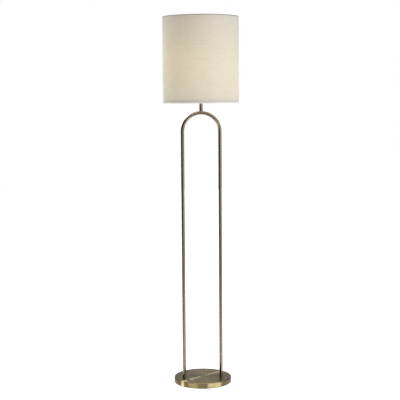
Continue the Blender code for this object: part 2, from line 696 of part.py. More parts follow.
def bulb_parts():
    """Frosted bulb: centre tip, glass insulator, ridged screw cap and a hollow globe."""
    at = (0, 0, NECK_TOP)
    z = BULB_BOTTOM
    tip_high, insulator_high = 0.0020, 0.0036
    tip = [(0, z), (0.0030, z), (0.0046, z + tip_high / 2), (0.0046, z + tip_high), (0, z + tip_high)]
    turned("bulb_tip", tip, SMALL_SIDES, "plated_steel", at)
    z += tip_high + GAP
    insulator = [(0, z), (0.0050, z), (0.0108, z + insulator_high), (0, z + insulator_high)]
    turned("bulb_insulator", insulator, SMALL_SIDES, "black_plastic", at)
    z += insulator_high + GAP
    ridges, pitch, root, crest, collar = 5, 0.0034, 0.0124, 0.0131, 0.0126
    cap = [(0, z), (root - 0.0012, z)]
    for i in range(ridges):
        cap += [(root, z + 0.0012 + pitch * i), (crest, z + 0.0029 + pitch * i)]
    cap += [(collar, BULB_CAP_TOP - 0.0020), (collar, BULB_CAP_TOP), (0, BULB_CAP_TOP)]
    turned("bulb_cap", cap, SOCKET_SIDES, "nickel", at)


def bulb_globe():
    """Glass envelope, open where it stands in the cap."""
    neck_z, wall = BULB_CAP_TOP + GAP, 0.0009

    def envelope(inset):
        side = [(BULB_NECK, neck_z), (BULB_NECK + 0.0008, neck_z + 0.0080)]
        side += [(BULB_NECK + 0.0048, neck_z + 0.0190)]
        ball = arc(0, GLOBE_MIDDLE, GLOBE_RADIUS - inset, -38, 90, 7)
        return [(radius - inset, z) for radius, z in side] + ball[:-1] + [(0, ball[-1][1])]

    profile = list(reversed(envelope(0.0))) + envelope(wall)
    turned("bulb_globe", profile, SOCKET_SIDES, "opal_glass", (0, 0, NECK_TOP))


# Shade


def shade_fabric():
    """Linen drum. Each edge folds in round its ring and ends a little way up the inside."""
    outer, inside = SHADE_RADIUS, SHADE_RADIUS - FABRIC
    lip_out = RING_RADIUS - WIRE_RADIUS - GAP
    lip_in = lip_out - FABRIC
    round_edge = WIRE_RADIUS
    bottom, top = SHADE_BOTTOM, HEIGHT
    low_lip, high_lip = BOTTOM_RING_Z + 0.0052, top - HEM_INSIDE
    profile = arc(outer - round_edge, top - round_edge, round_edge, 90, 0, 1)
    profile += arc(outer - round_edge, bottom + round_edge, round_edge, 0, -90, 1)
    profile += [(lip_in, bottom), (lip_in, low_lip), (lip_out, low_lip)]
    profile += [(lip_out, bottom + FABRIC), (inside, bottom + FABRIC), (inside, top - FABRIC)]
    profile += [(lip_out, top - FABRIC), (lip_out, high_lip), (lip_in, high_lip), (lip_in, top)]
    turned("shade_fabric", profile, SHADE_SIDES, "linen")


def shade_liner():
    """Stiff translucent sheet behind the fabric."""
    outer = SHADE_RADIUS - FABRIC - GAP
    top = HEIGHT - FABRIC - GAP
    profile = ring_profile(outer - LINER, outer, BOTTOM_RING_Z + 0.0002, top)
    turned("shade_liner", profile, SHADE_SIDES, "liner")


def ring(name, z, finish_name):
    turns = [math.tau * i / WIRE_SIDES for i in range(WIRE_SIDES)]
    profile = [(RING_RADIUS + WIRE_RADIUS * math.cos(a), z + WIRE_RADIUS * math.sin(a)) for a in turns]
    return turned(name, profile, SHADE_SIDES, finish_name)


def spider():
    """Top ring with three arms that drop inside the hem and run to a washer in the middle."""
    frame = ring("spider", TOP_RING_Z, "white_wire")
    bend = 0.005
    corner = arc(RING_RADIUS - bend, SPIDER_Z + bend, bend, 0, -90, 3)
    path = [(RING_RADIUS, TOP_RING_Z + 0.0003)] + corner + [(0.0090, SPIDER_Z)]
    for angle in ARM_ANGLES:
        arm = swept(f"spider_arm_{angle}", path, ARM_RADIUS, 8, None)
        arm.rotation_euler.z = math.radians(angle)
        join(frame, arm)
    washer = ring_profile(STUD_HOLE, 0.0150, -SPIDER_THICKNESS / 2, SPIDER_THICKNESS / 2)
    join(frame, turned("spider_washer", washer, SOCKET_SIDES, None, (0, 0, SPIDER_Z)))


def build():
    clear_scene()
    base_cover()
    base_weight()
    base_pad()
    cord_bushing()
    terminal_block()
    for side, sign in SIDES:
        leg_fixings(side, sign)
        leg_tubes(side, sign)
        leg_joints(side, sign)
        terminal_screw(side, sign)
        ferrule(side, sign)
    arch()
    neck()
    wire("supply_lead", lead_route(), LEAD_RADIUS, "lead_jacket")
    harp_saddle()
    socket_cap()
    socket_shell()
    insulating_sleeve()
    socket_body()
    socket_contacts()
    switch_knob()
    wire("harp", harp_points(), HARP_RADIUS, "bright_brass")
    harp_stud()
    finial()
    bulb_parts()
    bulb_globe()
    shade_fabric()
    shade_liner()
    spider()
    ring("bottom_ring", BOTTOM_RING_Z, "white_wire")


build()
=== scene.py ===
"""Looks of the arc floor lamp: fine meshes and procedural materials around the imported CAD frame.

Metres, in the frame of the CAD model. The camera stands a little to the left of the lamp's front.
"""

import math

import bmesh
import bpy
from mathutils import Matrix, Vector

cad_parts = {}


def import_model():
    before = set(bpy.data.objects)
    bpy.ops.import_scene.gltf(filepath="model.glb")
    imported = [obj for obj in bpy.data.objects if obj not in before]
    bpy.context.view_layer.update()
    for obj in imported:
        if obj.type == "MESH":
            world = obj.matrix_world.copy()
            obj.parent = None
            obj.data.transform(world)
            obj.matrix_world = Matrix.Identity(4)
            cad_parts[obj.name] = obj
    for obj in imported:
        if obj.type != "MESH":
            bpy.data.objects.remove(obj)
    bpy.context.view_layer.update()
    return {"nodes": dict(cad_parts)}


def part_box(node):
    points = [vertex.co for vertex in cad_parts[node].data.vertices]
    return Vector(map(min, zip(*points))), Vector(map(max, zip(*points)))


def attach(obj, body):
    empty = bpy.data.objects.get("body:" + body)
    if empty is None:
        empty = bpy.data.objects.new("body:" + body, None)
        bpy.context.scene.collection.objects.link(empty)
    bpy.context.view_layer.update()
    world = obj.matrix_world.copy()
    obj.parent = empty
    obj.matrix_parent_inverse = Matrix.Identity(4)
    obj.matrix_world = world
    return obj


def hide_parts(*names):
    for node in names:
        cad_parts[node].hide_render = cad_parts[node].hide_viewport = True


BRUSH_MAP = "brush"  # UV map: u runs along a piece in metres, v once around it

# Camera
CAMERA_DISTANCE = 4.3914
CAMERA_AZIMUTH = math.radians(-8.0)
CAMERA_HEIGHT = 1.2415
CAMERA_PITCH = math.radians(5.8775)
CAMERA_YAW = math.radians(0.0905)
CAMERA_ROLL = math.radians(-0.4006)
CAMERA_LENS = 93.33
CAMERA_REACH = 60

SIDES = (("left", -1), ("right", 1))
POLE = 1e-7  # a ring narrower than this is one point

# Faces around the turned pieces
DRUM_FACES = 192
DISC_FACES = 128
NECK_FACES = 96
FINE_FACES = 72
CUP_FACES = 64
TUBE_FACES = 48
SMALL_FACES = 32
WIRE_FACES = 24
ARM_FACES = 16


def shown(obj):
    bpy.context.scene.collection.objects.link(obj)
    return obj


def make_camera():
    data = bpy.data.cameras.new("camera")
    data.lens = CAMERA_LENS
    data.clip_end = CAMERA_REACH
    camera = shown(bpy.data.objects.new("camera", data))
    bpy.context.scene.camera = camera
    place = Vector((math.sin(CAMERA_AZIMUTH), -math.cos(CAMERA_AZIMUTH), 0)) * CAMERA_DISTANCE
    place.z = CAMERA_HEIGHT
    heading = Matrix.Rotation(CAMERA_AZIMUTH + CAMERA_YAW, 4, "Z")
    pitch = Matrix.Rotation(math.pi / 2 - CAMERA_PITCH, 4, "X")
    camera.matrix_world = Matrix.Translation(place) @ heading @ pitch @ Matrix.Rotation(CAMERA_ROLL, 4, "Z")


# Node trees


class Nodes:
    """Short calls that build a node tree. A value is a number, a colour or another node's output."""

    def __init__(self, tree):
        self.tree = tree
        tree.nodes.clear()

    def add(self, kind, inputs=None, **settings):
        made = self.tree.nodes.new("ShaderNode" + kind)
        for key, value in settings.items():
            setattr(made, key, value)
        for key, value in (inputs or {}).items():
            self.put(made.inputs[key], value)
        return made

    def put(self, socket, value):
        if isinstance(value, bpy.types.NodeSocket):
            self.tree.links.new(value, socket)
        elif socket.type == "RGBA" and len(value) == 3:
            socket.default_value = (*value, 1.0)
        else:
            socket.default_value = value

    def math(self, operation, a, b=0.0):
        return self.add("Math", {0: a, 1: b}, operation=operation).outputs[0]

    def mix(self, share, a, b):
        return self.add("Mix", {0: share, 6: a, 7: b}, data_type="RGBA").outputs[2]

    def scaled(self, vector, size):
        return self.add("VectorMath", {0: vector, 1: size}, operation="MULTIPLY").outputs[0]

    def joined(self, x, y, z):
        return self.add("CombineXYZ", {0: x, 1: y, 2: z}).outputs[0]

    def noise(self, vector, scale=1.0, detail=3.0, roughness=0.5):
        values = {"Vector": vector, "Scale": scale, "Detail": detail, "Roughness": roughness}
        return self.add("TexNoise", values).outputs["Fac"]

    def span(self, value, low, high, to_low=0.0, to_high=1.0):
        """Maps low..high to to_low..to_high, held at both ends."""
        values = {0: value, 1: low, 2: high, 3: to_low, 4: to_high}
        return self.add("MapRange", values).outputs[0]

    def bump(self, height, distance, strength):
        values = {"Height": height, "Distance": distance, "Strength": strength}
        return self.add("Bump", values).outputs[0]

    def own(self):
        """Coordinates that stay with the piece, in metres."""
        return self.add("TexCoord").outputs["Object"]

    def along_and_turn(self):
        uv = self.add("UVMap", uv_map=BRUSH_MAP).outputs[0]
        split = self.add("SeparateXYZ", {0: uv})
        return split.outputs[0], split.outputs[1]

    def grain(self, along, around):
        """A space whose first axis runs along the piece and whose other two go round it with no seam."""
        u, v = self.along_and_turn()
        angle = self.math("MULTIPLY", v, math.tau)
        x = self.math("MULTIPLY", self.math("COSINE", angle), around)
        y = self.math("MULTIPLY", self.math("SINE", angle), around)
        return self.joined(self.math("MULTIPLY", u, along), x, y)

    def principled(self, **values):
        names = {key.replace("_", " ").title().replace("Ior", "IOR"): value for key, value in values.items()}
        return self.add("BsdfPrincipled", names).outputs[0]

    def blend(self, share, a, b):
        """One shader, and a share of another over it."""
        return self.add("MixShader", {0: share, 1: a, 2: b}).outputs[0]

    def finish(self, shader):
        self.add("OutputMaterial", {0: shader})

    def surface(self, **values):
        self.finish(self.principled(**values))


FILLS = {}


def material(fill):
    """Keeps the function as the one that fills the material of its own name."""
    FILLS[fill.__name__] = fill
    return fill


def look(name):
    """The material of that name, made when it is first asked for."""
    found = bpy.data.materials.get("look_" + name)
    if not found:
        found = bpy.data.materials.new("look_" + name)
        found.use_nodes = True
        FILLS[name](Nodes(found.node_tree))
    return found


# Metals


def brushed_brass(n, dark, light, worn, roughness, relief):
    """Patinated brass with fine lines around the piece, darker blotches and a few brighter rubbed streaks."""
    own = n.own()
    lines = n.noise(n.grain(along=2600, around=1.2), detail=4, roughness=0.6)
    bands = n.noise(n.grain(along=260, around=0.7), detail=3, roughness=0.55)
    patina = n.noise(own, scale=22, detail=5, roughness=0.62)
    share = n.math("ADD", n.math("MULTIPLY", lines, 0.30), n.math("MULTIPLY", bands, 0.30))
    share = n.math("ADD", share, n.math("MULTIPLY", patina, 0.55))
    share = n.span(share, 0.30, 0.86)
    color = n.mix(share, dark, light)
    color = n.mix(n.span(bands, 0.60, 0.85, 0.0, 0.35), color, worn)
    rough = n.span(n.math("ADD", lines, patina), 0.7, 1.3, roughness + 0.03, roughness - 0.03)
    tangent = n.add("Tangent", direction_type="UV_MAP", uv_map=BRUSH_MAP).outputs[0]
    normal = n.bump(lines, relief, 0.6)
    n.surface(
        base_color=color, metallic=1.0, roughness=rough, anisotropic=0.97, tangent=tangent, normal=normal
    )


@material
def tube_brass(n):
    dark, light, worn = (0.150, 0.130, 0.090), (0.350, 0.310, 0.225), (0.54, 0.48, 0.35)
    brushed_brass(n, dark, light, worn, roughness=0.15, relief=0.000006)


@material
def base_brass(n):
    dark, light, worn = (0.190, 0.148, 0.078), (0.440, 0.352, 0.185), (0.60, 0.49, 0.28)
    brushed_brass(n, dark, light, worn, roughness=0.20, relief=0.000008)


@material
def bright_brass(n):
    """Pressed and lacquered brass of the socket, the harp's fittings and the contacts."""
    own = n.own()
    stain = n.noise(own, scale=60, detail=4, roughness=0.6)
    scratches = n.noise(n.scaled(own, (900, 900, 120)), detail=3, roughness=0.6)
    color = n.mix(n.span(stain, 0.35, 0.7), (0.60, 0.42, 0.17), (0.80, 0.62, 0.30))
    rough = n.span(n.math("ADD", stain, scratches), 0.7, 1.4, 0.34, 0.20)
    normal = n.bump(scratches, 0.00002, 0.4)
    n.surface(base_color=color, metallic=1.0, roughness=rough, normal=normal)


@material
def plated_steel(n):
    """Zinc-plated hardware with a faint spangle."""
    own = n.own()
    spangle = n.add("TexVoronoi", {"Vector": own, "Scale": 450.0}).outputs["Distance"]
    cloud = n.noise(own, scale=120, detail=4, roughness=0.6)
    color = n.mix(n.span(cloud, 0.3, 0.7), (0.42, 0.41, 0.38), (0.66, 0.65, 0.60))
    rough = n.span(n.math("ADD", spangle, cloud), 0.3, 1.2, 0.28, 0.48)
    n.surface(base_color=color, metallic=1.0, roughness=rough)


@material
def nickel(n):
    cloud = n.noise(n.own(), scale=160, detail=4, roughness=0.55)
    color = n.mix(cloud, (0.58, 0.56, 0.51), (0.78, 0.76, 0.71))
    rough = n.span(cloud, 0.3, 0.7, 0.20, 0.34)
    n.surface(base_color=color, metallic=1.0, roughness=rough)


@material
def cast_iron(n):
    """Rough grey casting with a few rust freckles."""
    own = n.own()
    sand = n.noise(own, scale=700, detail=5, roughness=0.7)
    cloud = n.noise(own, scale=45, detail=4, roughness=0.6)
    color = n.mix(cloud, (0.045, 0.044, 0.043), (0.11, 0.105, 0.10))
    freckles = n.span(n.noise(own, scale=130), 0.64, 0.74, 0.0, 0.6)
    color = n.mix(freckles, color, (0.16, 0.065, 0.03))
    normal = n.bump(sand, 0.0003, 0.7)
    n.surface(base_color=color, metallic=0.55, roughness=0.72, normal=normal)


# Plastics, board, felt, glass


def moulded(n, color, roughness, grain=900.0, depth=0.00003):
    """Moulded or painted surface with a slight cloud of colour and a fine skin."""
    own = n.own()
    cloud = n.noise(own, scale=70)
    skin = n.noise(own, scale=grain, roughness=0.6)
    darker = tuple(0.82 * c for c in color)
    shade = n.mix(n.span(cloud, 0.3, 0.7), darker, color)
    rough = n.span(skin, 0.3, 0.7, roughness - 0.06, roughness + 0.06)
    normal = n.bump(skin, depth, 0.6)
    n.surface(base_color=shade, roughness=rough, normal=normal)


@material
def black_plastic(n):
    moulded(n, (0.018, 0.017, 0.016), 0.38)


@material
def white_plastic(n):
    moulded(n, (0.78, 0.77, 0.73), 0.45)


@material
def lead_jacket(n):
    moulded(n, (0.50, 0.40, 0.24), 0.50)


@material
def white_wire(n):
    """Powder-coated wire with the coat's orange peel."""
    moulded(n, (0.84, 0.82, 0.78), 0.42, grain=500, depth=0.00008)


@material
def brown_phenolic(n):
    """Dark moulded insulator with a marbled filler."""
    own = n.own()
    marbling = n.noise(own, scale=90, detail=5, roughness=0.65)
    color = n.mix(n.span(marbling, 0.4, 0.62), (0.035, 0.020, 0.014), (0.105, 0.055, 0.034))
    normal = n.bump(n.noise(own, scale=800, detail=2), 0.00003, 0.5)
    n.surface(base_color=color, roughness=0.42, normal=normal)


@material
def cardboard(n):
    fibre = n.noise(n.scaled(n.own(), (500, 500, 140)), detail=5, roughness=0.7)
    color = n.mix(fibre, (0.30, 0.22, 0.14), (0.54, 0.43, 0.30))
    n.surface(base_color=color, roughness=0.9, normal=n.bump(fibre, 0.0001, 0.6))


@material
def felt(n):
    """Pressed black fibre pad."""
    own = n.own()
    tuft = n.noise(own, scale=420, detail=6, roughness=0.75)
    cloud = n.noise(own, scale=30)
    color = n.mix(n.math("MULTIPLY", tuft, cloud), (0.012, 0.012, 0.012), (0.075, 0.073, 0.070))
    normal = n.bump(tuft, 0.0006, 0.8)
    n.surface(base_color=color, roughness=0.95, sheen_weight=0.35, sheen_roughness=0.5, normal=normal)


@material
def opal_glass(n):
    """Frosted glass of the lit bulb, a little brighter where its coat is thin."""
    cloud = n.noise(n.own(), scale=90, detail=2)
    glow = n.mix(n.span(cloud, 0.3, 0.7), (1.0, 0.80, 0.42), (1.0, 0.85, 0.48))
    n.surface(base_color=(0.90, 0.88, 0.82), roughness=0.35, emission_color=glow, emission_strength=30.0)


# Linen


THREAD = 0.00055  # from one thread to the next
THREAD_WANDER = 5.0  # how far the threads stray from straight, as an angle of the weave's wave
# Painted shade: dark lines near the drum's top edge and above its hem, where the wire rings block the lamp's
# light.
TOP_SHADE_LINE = 0.0030  # from the drum's top edge down to the end of its dark line
HEM_SHADE_LINE = 0.0072  # from the drum's bottom edge up to the dark line above the hem


def linen_height(n):
    """Plain weave at its real pitch, with uneven threads: its height, its slubs and its thickness."""
    u, v = n.along_and_turn()
    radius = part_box("shade_fabric")[1].x
    around = n.math("MULTIPLY", v, math.tau * radius)
    turn = n.math("MULTIPLY", v, math.tau)
    seamless = (n.math("COSINE", turn), n.math("SINE", turn))

    def stretched(along, wide):
        return n.joined(
            n.math("MULTIPLY", u, along),
            n.math("MULTIPLY", seamless[0], wide * radius),
            n.math("MULTIPLY", seamless[1], wide * radius),
        )

    def threads(across, drift):
        """A wave that rises at one thread and falls at the next."""
        phase = n.math("MULTIPLY", across, math.pi / THREAD)
        return n.math("SINE", n.math("ADD", phase, n.math("MULTIPLY", drift, THREAD_WANDER)))

    weft_drift = n.noise(stretched(260, 9), detail=2)
    warp_drift = n.noise(stretched(8, 220), detail=2)
    weft = threads(u, weft_drift)
    weave = n.math("MULTIPLY", weft, threads(around, warp_drift))
    weft_slub = n.span(n.noise(stretched(620, 22), detail=2), 0.56, 0.74)
    warp_slub = n.span(n.noise(stretched(30, 560), detail=2), 0.60, 0.76)
    slubs = n.math("MAXIMUM", weft_slub, n.math("MULTIPLY", warp_slub, 0.6))
    thickness = n.noise(stretched(900, 60), roughness=0.6)
    height = n.math("ADD", n.math("MULTIPLY", weave, 0.35), n.math("MULTIPLY", slubs, 0.9))
    return n.math("ADD", height, n.math("MULTIPLY", thickness, 0.5)), slubs, thickness


def painted_shade_lines_and_hem_light(n):
    """Masks of the painted shade lines, one at each edge of the drum where the wire rings block the lamp's
    light, and of the lower hem that is painted lighter.
    """
    low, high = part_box("shade_fabric")
    height = n.add("SeparateXYZ", {0: n.own()}).outputs[2]
    top_line, line = high.z - TOP_SHADE_LINE, low.z + HEM_SHADE_LINE
    top = n.span(height, top_line - 0.0004, top_line + 0.0004, 0.0, 0.85)
    from_line = n.math("ABSOLUTE", n.math("SUBTRACT", height, line))
    # Painted shade along both edge lines, standing in for the rings' shadow in the light from inside.
    painted_shade_lines = n.math("MAXIMUM", top, n.span(from_line, 0.0004, 0.0012, 0.24, 0.0))
    # Painted light: the lower hem below the line is made paler.
    return painted_shade_lines, n.span(height, line - 0.0016, line - 0.0008, 1.0, 0.0)


@material
def linen(n):
    """Undyed linen over a lamp: part of the light inside comes through, less where a slub is thick."""
    height, slubs, thickness = linen_height(n)
    cloud = n.noise(n.own(), scale=9)
    color = n.mix(n.span(thickness, 0.3, 0.7), (0.77, 0.75, 0.71), (0.86, 0.845, 0.815))
    color = n.mix(n.math("MULTIPLY", slubs, 0.32), color, (0.66, 0.61, 0.53))
    color = n.mix(n.span(cloud, 0.35, 0.65, 0.0, 0.10), color, (0.66, 0.63, 0.57))
    painted_shade_lines, hem = painted_shade_lines_and_hem_light(n)
    # Painted light: the lower hem is paler than the rest of the cloth.
    color = n.mix(hem, color, (0.97, 0.96, 0.93))
    # Painted shade: the edge lines are darkened.
    color = n.mix(n.math("MULTIPLY", painted_shade_lines, 0.60), color, (0.20, 0.185, 0.15))
    normal = n.bump(height, 0.00025, 0.55)
    cloth = n.principled(
        base_color=color,
        roughness=0.88,
        specular_ior_level=0.2,
        sheen_weight=0.25,
        sheen_roughness=0.4,
        normal=normal,
    )
    through = n.mix(n.math("MULTIPLY", slubs, 0.6), (0.86, 0.825, 0.72), (0.60, 0.53, 0.41))
    # Painted shade in the light that comes through, along the same lines.
    through = n.mix(painted_shade_lines, through, (0.10, 0.09, 0.07))
    back = n.add("BsdfTranslucent", {"Color": through, "Normal": normal}).outputs[0]
    n.finish(n.blend(0.50, cloth, back))


@material
def liner(n):
    """White styrene sheet that the linen is bonded to."""
    cloud = n.noise(n.own(), scale=40)
    color = n.mix(cloud, (0.86, 0.84, 0.79), (0.93, 0.92, 0.88))
    sheet = n.principled(base_color=color, roughness=0.42, specular_ior_level=0.4)
    back = n.add("BsdfTranslucent", {"Color": (0.95, 0.935, 0.90)}).outputs[0]
    n.finish(n.blend(0.65, sheet, back))


# Mesh tools


def arc(x, z, radius, start, end, steps):
    """Points of an arc in the profile plane, from one angle in degrees to another."""
    angles = [math.radians(start + (end - start) * i / steps) for i in range(steps + 1)]
    return [(x + radius * math.cos(a), z + radius * math.sin(a)) for a in angles]


def grid_mesh(name, rows, lengths, finish, closed=False, location=(0, 0, 0), turns=None):
    """A surface through rows of points that each go once around; a row of one point is a pole."""
    bm = bmesh.new()
    uv = bm.loops.layers.uv.new(BRUSH_MAP)
    made = [[bm.verts.new(p) for p in row] for row in rows]
    sides = max(len(row) for row in rows)
    turns = [*(turns or [k / sides for k in range(sides)]), 1.0]
    count = len(rows)
    spans = [(i, (i + 1) % count) for i in range(count if closed else count - 1)]
    total = lengths[-1] + (Vector(rows[-1][0]) - Vector(rows[0][0])).length if closed else 0.0
    for i, j in spans:
        end = total if j == 0 else lengths[j]
        for k in range(sides):
            corners = []
            for row, u, step in ((i, lengths[i], 0), (i, lengths[i], 1), (j, end, 1), (j, end, 0)):
                pole = len(made[row]) == 1
                vert = made[row][0 if pole else (k + step) % sides]
                if not corners or corners[-1][0] is not vert:
                    v = (turns[k] + turns[k + 1]) / 2 if pole else turns[k + step]
                    corners.append((vert, u, v))
            if corners[0][0] is corners[-1][0]:
                corners.pop()
            if len(corners) > 2:
                face = bm.faces.new([c[0] for c in corners])
                face.smooth = True
                for loop, (_, u, v) in zip(face.loops, corners):
                    loop[uv].uv = (u, v)
    bmesh.ops.recalc_face_normals(bm, faces=bm.faces)
    return to_object(name, bm, finish, location)


def to_object(name, bm, finish, location=(0, 0, 0)):
    mesh = bpy.data.meshes.new(name)
    bm.to_mesh(mesh)
    bm.free()
    mesh.materials.append(look(finish))
    obj = shown(bpy.data.objects.new(name, mesh))
    obj.location = location
    return obj


def lathe(name, profile, sides, finish, closed=False, location=(0, 0, 0), swell=None, turns=None):
    """Turns (radius, z) points about the Z axis. swell(angle, radius, z) gives a changed radius."""
    turns = turns or [k / sides for k in range(sides)]
    rows, lengths, run = [], [], 0.0
    for i, (radius, z) in enumerate(profile):
        if i:
            run += math.dist(profile[i - 1], (radius, z))
        lengths.append(run)
        if radius < POLE:
            rows.append([(0, 0, z)])
            continue
        row = []
        for turn in turns:
            a = math.tau * turn
            r = swell(a, radius, z) if swell else radius
            row.append((r * math.cos(a), r * math.sin(a), z))
        rows.append(row)
    return grid_mesh(name, rows, lengths, finish, closed, location, turns)


def swept(name, stations, sides, finish, closed=False):
    """Circles of (centre, direction, radius) joined one after another; a radius of 0 closes an end."""
    rows, lengths, run = [], [], 0.0
    side = Vector((0, 1, 0))
    for i, (centre, direction, radius) in enumerate(stations):
        if i:
            before = stations[i - 1]
            run += math.hypot((centre - before[0]).length, radius - before[2])
        lengths.append(run)
        along = direction.normalized()
        across = side.cross(along).normalized()
        third = along.cross(across)
        if radius < POLE:
            rows.append([centre])
            continue
        turns = [math.tau * k / sides for k in range(sides)]
        rows.append([centre + radius * (math.cos(a) * across + math.sin(a) * third) for a in turns])
    return grid_mesh(name, rows, lengths, finish, closed)


def with_directions(points):
    """Each point with the direction of the line there."""
    found = []
    for i, point in enumerate(points):
        before, after = points[max(i - 1, 0)], points[min(i + 1, len(points) - 1)]
        found.append((point, (after - before).normalized()))
    return found


def round_wire(name, points, radius, sides, finish):
    """A solid wire along points, with softly rounded ends."""
    path = with_directions(points)
    (start, first), (end, last) = path[0], path[-1]
    narrow, step = 0.8 * radius, 0.2 * radius
    stations = [(start, first, 0.0), (start, first, narrow), (start + step * first, first, radius)]
    stations += [(p, d, radius) for p, d in path[1:-1]]
    stations += [(end - step * last, last, radius), (end, last, narrow), (end, last, 0.0)]
    return swept(name, stations, sides, finish)


def bezier(p0, p1, p2, p3, steps):
    points = []
    for i in range(steps + 1):
        t = i / steps
        s = 1 - t
        points.append(s**3 * p0 + 3 * s * s * t * p1 + 3 * s * t * t * p2 + t**3 * p3)
    return points


def stands_for(obj, body, slot, *nodes):
    """The piece moves with the body and shows in place of the CAD nodes."""
    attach(obj, body)
    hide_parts(*nodes)


def middle(node):
    low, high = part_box(node)
    return (low + high) / 2


def apply_modifiers(obj):
    """Puts what an object's modifiers make into its mesh, and takes the modifiers away."""
    bpy.context.view_layer.update()
    made = bpy.data.meshes.new_from_object(obj.evaluated_get(bpy.context.evaluated_depsgraph_get()))
    old = obj.data
    obj.modifiers.clear()
    obj.data = made
    made.name = obj.name
    bpy.data.meshes.remove(old)


def drill(obj, radius, length, places):
    """Cuts a round hole at each (centre, direction)."""
    for centre, direction in places:
        half = length / 2
        outline = [(0, -half), (radius, -half), (radius, half), (0, half)]
        drill_bit = lathe("bit", outline, SMALL_FACES, "cast_iron")
        drill_bit.rotation_euler = Vector(direction).to_track_quat("Z", "Y").to_euler()
        drill_bit.location = centre
        modifier = obj.modifiers.new("hole", "BOOLEAN")
        modifier.operation = "DIFFERENCE"
        modifier.solver = "EXACT"
        modifier.object = drill_bit
        apply_modifiers(obj)
        bpy.data.objects.remove(drill_bit)


# Base


BOLT_HOLE = 0.0043  # radius of the holes for the hollow bolts and the neck's nipple


def base_cover():
    """Spun shell with a rounded rim and a rolled lower edge, open underneath."""
    low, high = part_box("base_cover")
    radius, top, bottom = high.x, high.z, low.z
    wall, rim, lip, corner = 0.0012, 0.0028, 0.0010, 0.0018
    guard = 0.0008  # from a bend to the ring that holds the flat beside it
    ceiling = top - wall
    bolt, inlet = middle("base_bolt_right"), middle("cord_bushing")
    beside = 0.0055  # rings this far from the bolts keep the holes' cut faces under the legs
    rings = (0, 0.008, 0.020, 0.045, bolt.x - beside, bolt.x + beside, 0.100, radius - rim - 0.0015)
    profile = [(ring, top) for ring in rings]
    profile += arc(radius - rim, top - rim, rim, 90, 0, 10)
    profile += [(radius, top - rim - guard), (radius, bottom + lip + guard)]
    profile += arc(radius - lip, bottom + lip, lip, 0, -90, 5)
    profile += [(radius - wall - 0.0004, bottom), (radius - wall, bottom + 0.0005)]
    profile += arc(radius - wall - corner, ceiling - corner, corner, 0, 90, 5) + [(0, ceiling)]
    cover = lathe("base_cover_spun", profile, DRUM_FACES, "base_brass")
    holes = [((sign * bolt.x, 0, top), (0, 0, 1)) for _, sign in SIDES]
    drill(cover, BOLT_HOLE, 0.010, holes)
    drill(cover, 0.0052, 0.016, [((0, radius, inlet.z), (0, 1, 0))])
    stands_for(cover, "root", "antique_brass", "base_cover")


def base_pad():
    """Felt disc with a soft lower edge."""
    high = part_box("base_pad")[1]
    radius, top = high.x, high.z
    soft, fuzz = 0.0009, 0.0003
    profile = [(0, 0), (radius * 0.5, 0), (radius - soft - 0.002, 0)]
    profile += arc(radius - soft, soft, soft, -90, 0, 4)
    profile += [(radius, top - fuzz), (radius - fuzz, top), (0, top)]
    pad = lathe("base_pad_felt", profile, DISC_FACES, "felt")
    stands_for(pad, "root", "felt", "base_pad")


def cord_bushing():
    """Grommet with rounded flanges, its axis through the back of the cover."""
    low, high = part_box("cord_bushing")
    axis_z = (low.z + high.z) / 2
    flange = (high.z - low.z) / 2
    bore, shank = 0.0036, 0.0049
    back, front, mouth = 0.0008, 0.0014, 0.0009  # radii of the flanges' edges and the bore's end
    outside = high.y - front - 0.0008  # where the outer flange meets the cover
    inside = outside - 0.0023
    profile = [(bore, low.y), (flange - back, low.y)]
    profile += arc(flange - back, low.y + back, back, -90, 0, 4)
    profile += [(flange, inside), (shank, inside), (shank, outside), (flange, outside)]
    profile += arc(flange - front, high.y - front, front, 0, 90, 6)
    profile += arc(bore + mouth, high.y - mouth, mouth, 90, 180, 4)
    bushing = lathe("cord_bushing_moulded", profile, TUBE_FACES, "black_plastic", closed=True)
    bushing.rotation_euler.x = -math.pi / 2
    bushing.location = (0, 0, axis_z)
    stands_for(bushing, "root", "black_plastic", "cord_bushing")


# Frame


END_ROUND = 0.0005  # broken edge at each tube's end
BROKEN_EDGE = ((0, 1), (0.3, 0.3), (1, 0), (3, 0))  # (back from the end, in from the outside), times its size
TUBE_WALL = 0.0012
ARCH_STEPS = 64
LEG_STEPS = 12


def tube_stations(path, radius, wall):
    """Out along the outside of a tube and back along its bore, with both ends' edges broken."""
    directed = with_directions(path)
    (start, first), (end, last) = directed[0], directed[-1]
    rounding = [(END_ROUND * back, radius - END_ROUND * cut) for back, cut in BROKEN_EDGE]
    outside = [(start + back * first, first, r) for back, r in rounding]
    outside += [(p, d, radius) for p, d in directed[1:-1]]
    outside += [(end - back * last, last, r) for back, r in reversed(rounding)]
    bore = [(p, d, radius - wall) for p, d in reversed(directed)]
    return outside + bore


def leg_tubes():
    for side, _ in SIDES:
        for part in ("lower", "middle"):
            node = f"{part}_leg_{side}"
            low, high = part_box(node)
            x, radius = (low.x + high.x) / 2, (high.x - low.x) / 2
            heights = [low.z + (high.z - low.z) * i / LEG_STEPS for i in range(LEG_STEPS + 1)]
            stations = tube_stations([Vector((x, 0, z)) for z in heights], radius, TUBE_WALL)
            tube = swept(f"{node}_tube", stations, TUBE_FACES, "tube_brass", closed=True)
            stands_for(tube, "root", "antique_brass", node)


def arch_bend():
    """(radius of the arch's tube, radius of its bend, height where the bend starts)"""
    low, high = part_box("arch_tube")
    radius = high.y
    bend = (high.x - low.x) / 2 - radius
    return radius, bend, high.z - radius - bend


